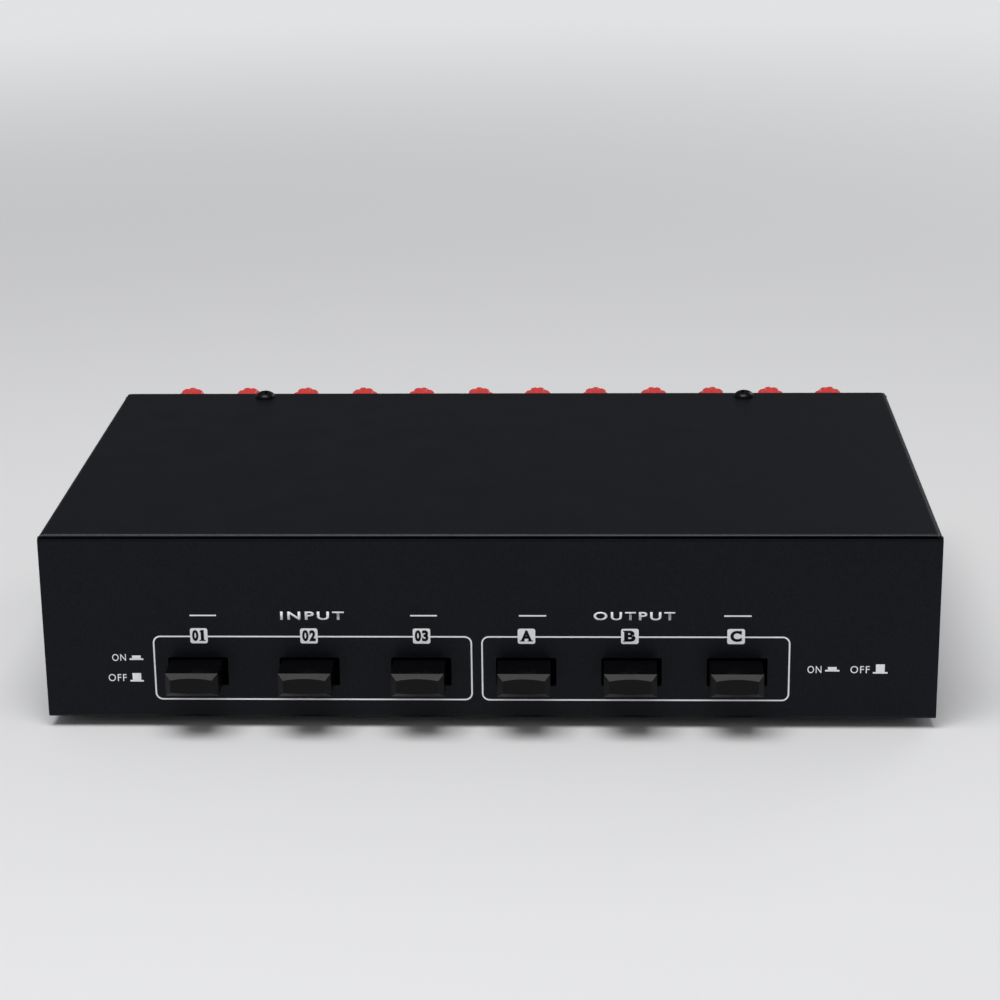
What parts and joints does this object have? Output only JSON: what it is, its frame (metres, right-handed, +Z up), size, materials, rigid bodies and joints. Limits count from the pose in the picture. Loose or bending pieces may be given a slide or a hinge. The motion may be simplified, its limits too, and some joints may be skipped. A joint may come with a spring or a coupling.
{
  "type": "speaker selector switch",
  "caption": "Flat steel desktop box with push-button speaker and amplifier selectors in front and rows of red and black binding posts behind.",
  "frame": {"origin": "middle of the underside of the whole object, on the surface that the rubber feet stand on", "axes": "+X to the right along the front panel seen from the front, +Y from the buttons to the binding posts, +Z up"},
  "size_m": [0.249, 0.1732, 0.0586],
  "materials": {
    "black_powder_coat": "fine-textured matt powder coat",
    "black_screw": "black zinc, semi-gloss",
    "rubber": "matt",
    "button_plastic": "moulded, satin",
    "switch_plastic": "moulded",
    "switch_plastic_white": "moulded",
    "spring_steel": "drawn wire",
    "tinned_metal": "tinned",
    "circuit_board": "glass-fibre laminate with solder mask",
    "brass": "turned",
    "zinc_screw": "bright zinc",
    "nickel_brass": "turned, gold flash",
    "red_plastic": "moulded, gloss",
    "black_plastic": "moulded, gloss",
    "fibre": "vulcanised fibre",
    "red_wire": "PVC insulation",
    "black_wire": "PVC insulation"
  },
  "bodies": {
    "case": {"chassis_tray": "black_powder_coat", "top_cover": "black_powder_coat", "cover_screws": "black_screw", "rubber_feet": "rubber", "switch_bodies": "switch_plastic", "switch_pins": "tinned_metal", "switch_board": "circuit_board", "board_standoffs": "brass", "board_screws": "zinc_screw", "terminal_board": "circuit_board", "red_collars": "red_plastic", "black_collars": "black_plastic", "post_stems": "nickel_brass", "inner_washers": "fibre", "stem_nuts": "nickel_brass", "solder_joints": "tinned_metal", "red_wires": "red_wire", "black_wires": "black_wire"},
    "input_key_1": {"input_button_1": "button_plastic", "input_plunger_1": "switch_plastic_white", "input_spring_1": "spring_steel"},
    "input_key_2": {"input_button_2": "button_plastic", "input_plunger_2": "switch_plastic_white", "input_spring_2": "spring_steel"},
    "input_key_3": {"input_button_3": "button_plastic", "input_plunger_3": "switch_plastic_white", "input_spring_3": "spring_steel"},
    "output_key_a": {"output_button_a": "button_plastic", "output_plunger_a": "switch_plastic_white", "output_spring_a": "spring_steel"},
    "output_key_b": {"output_button_b": "button_plastic", "output_plunger_b": "switch_plastic_white", "output_spring_b": "spring_steel"},
    "output_key_c": {"output_button_c": "button_plastic", "output_plunger_c": "switch_plastic_white", "output_spring_c": "spring_steel"},
    "red_cap_01": {"red_knob_01": "red_plastic"},
    "red_cap_02": {"red_knob_02": "red_plastic"},
    "red_cap_03": {"red_knob_03": "red_plastic"},
    "red_cap_04": {"red_knob_04": "red_plastic"},
    "red_cap_05": {"red_knob_05": "red_plastic"},
    "red_cap_06": {"red_knob_06": "red_plastic"},
    "red_cap_07": {"red_knob_07": "red_plastic"},
    "red_cap_08": {"red_knob_08": "red_plastic"},
    "red_cap_09": {"red_knob_09": "red_plastic"},
    "red_cap_10": {"red_knob_10": "red_plastic"},
    "red_cap_11": {"red_knob_11": "red_plastic"},
    "red_cap_12": {"red_knob_12": "red_plastic"},
    "black_cap_01": {"black_knob_01": "black_plastic"},
    "black_cap_02": {"black_knob_02": "black_plastic"},
    "black_cap_03": {"black_knob_03": "black_plastic"},
    "black_cap_04": {"black_knob_04": "black_plastic"},
    "black_cap_05": {"black_knob_05": "black_plastic"},
    "black_cap_06": {"black_knob_06": "black_plastic"},
    "black_cap_07": {"black_knob_07": "black_plastic"},
    "black_cap_08": {"black_knob_08": "black_plastic"},
    "black_cap_09": {"black_knob_09": "black_plastic"},
    "black_cap_10": {"black_knob_10": "black_plastic"},
    "black_cap_11": {"black_knob_11": "black_plastic"},
    "black_cap_12": {"black_knob_12": "black_plastic"}
  },
  "joints": [
    {"name": "input_key_1_press", "type": "slide", "parent": "case", "child": "input_key_1", "axis": [0, 1, 0], "range_m": [0, 0.0045], "stiffness_N_per_m": 300, "springref_m": -0.004, "deforming": ["input_spring_1"]},
    {"name": "input_key_2_press", "type": "slide", "parent": "case", "child": "input_key_2", "axis": [0, 1, 0], "range_m": [0, 0.0045], "stiffness_N_per_m": 300, "springref_m": -0.004, "deforming": ["input_spring_2"]},
    {"name": "input_key_3_press", "type": "slide", "parent": "case", "child": "input_key_3", "axis": [0, 1, 0], "range_m": [0, 0.0045], "stiffness_N_per_m": 300, "springref_m": -0.004, "deforming": ["input_spring_3"]},
    {"name": "output_key_a_press", "type": "slide", "parent": "case", "child": "output_key_a", "axis": [0, 1, 0], "range_m": [0, 0.0045], "stiffness_N_per_m": 300, "springref_m": -0.004, "deforming": ["output_spring_a"]},
    {"name": "output_key_b_press", "type": "slide", "parent": "case", "child": "output_key_b", "axis": [0, 1, 0], "range_m": [0, 0.0045], "stiffness_N_per_m": 300, "springref_m": -0.004, "deforming": ["output_spring_b"]},
    {"name": "output_key_c_press", "type": "slide", "parent": "case", "child": "output_key_c", "axis": [0, 1, 0], "range_m": [0, 0.0045], "stiffness_N_per_m": 300, "springref_m": -0.004, "deforming": ["output_spring_c"]},
    {"name": "red_cap_01_unscrew", "type": "slide", "parent": "case", "child": "red_cap_01", "axis": [0, 1, 0], "range_m": [0, 0.006]},
    {"name": "red_cap_02_unscrew", "type": "slide", "parent": "case", "child": "red_cap_02", "axis": [0, 1, 0], "range_m": [0, 0.006]},
    {"name": "red_cap_03_unscrew", "type": "slide", "parent": "case", "child": "red_cap_03", "axis": [0, 1, 0], "range_m": [0, 0.006]},
    {"name": "red_cap_04_unscrew", "type": "slide", "parent": "case", "child": "red_cap_04", "axis": [0, 1, 0], "range_m": [0, 0.006]},
    {"name": "red_cap_05_unscrew", "type": "slide", "parent": "case", "child": "red_cap_05", "axis": [0, 1, 0], "range_m": [0, 0.006]},
    {"name": "red_cap_06_unscrew", "type": "slide", "parent": "case", "child": "red_cap_06", "axis": [0, 1, 0], "range_m": [0, 0.006]},
    {"name": "red_cap_07_unscrew", "type": "slide", "parent": "case", "child": "red_cap_07", "axis": [0, 1, 0], "range_m": [0, 0.006]},
    {"name": "red_cap_08_unscrew", "type": "slide", "parent": "case", "child": "red_cap_08", "axis": [0, 1, 0], "range_m": [0, 0.006]},
    {"name": "red_cap_09_unscrew", "type": "slide", "parent": "case", "child": "red_cap_09", "axis": [0, 1, 0], "range_m": [0, 0.006]},
    {"name": "red_cap_10_unscrew", "type": "slide", "parent": "case", "child": "red_cap_10", "axis": [0, 1, 0], "range_m": [0, 0.006]},
    {"name": "red_cap_11_unscrew", "type": "slide", "parent": "case", "child": "red_cap_11", "axis": [0, 1, 0], "range_m": [0, 0.006]},
    {"name": "red_cap_12_unscrew", "type": "slide", "parent": "case", "child": "red_cap_12", "axis": [0, 1, 0], "range_m": [0, 0.006]},
    {"name": "black_cap_01_unscrew", "type": "slide", "parent": "case", "child": "black_cap_01", "axis": [0, 1, 0], "range_m": [0, 0.006]},
    {"name": "black_cap_02_unscrew", "type": "slide", "parent": "case", "child": "black_cap_02", "axis": [0, 1, 0], "range_m": [0, 0.006]},
    {"name": "black_cap_03_unscrew", "type": "slide", "parent": "case", "child": "black_cap_03", "axis": [0, 1, 0], "range_m": [0, 0.006]},
    {"name": "black_cap_04_unscrew", "type": "slide", "parent": "case", "child": "black_cap_04", "axis": [0, 1, 0], "range_m": [0, 0.006]},
    {"name": "black_cap_05_unscrew", "type": "slide", "parent": "case", "child": "black_cap_05", "axis": [0, 1, 0], "range_m": [0, 0.006]},
    {"name": "black_cap_06_unscrew", "type": "slide", "parent": "case", "child": "black_cap_06", "axis": [0, 1, 0], "range_m": [0, 0.006]},
    {"name": "black_cap_07_unscrew", "type": "slide", "parent": "case", "child": "black_cap_07", "axis": [0, 1, 0], "range_m": [0, 0.006]},
    {"name": "black_cap_08_unscrew", "type": "slide", "parent": "case", "child": "black_cap_08", "axis": [0, 1, 0], "range_m": [0, 0.006]},
    {"name": "black_cap_09_unscrew", "type": "slide", "parent": "case", "child": "black_cap_09", "axis": [0, 1, 0], "range_m": [0, 0.006]},
    {"name": "black_cap_10_unscrew", "type": "slide", "parent": "case", "child": "black_cap_10", "axis": [0, 1, 0], "range_m": [0, 0.006]},
    {"name": "black_cap_11_unscrew", "type": "slide", "parent": "case", "child": "black_cap_11", "axis": [0, 1, 0], "range_m": [0, 0.006]},
    {"name": "black_cap_12_unscrew", "type": "slide", "parent": "case", "child": "black_cap_12", "axis": [0, 1, 0], "range_m": [0, 0.006]}
  ]
}
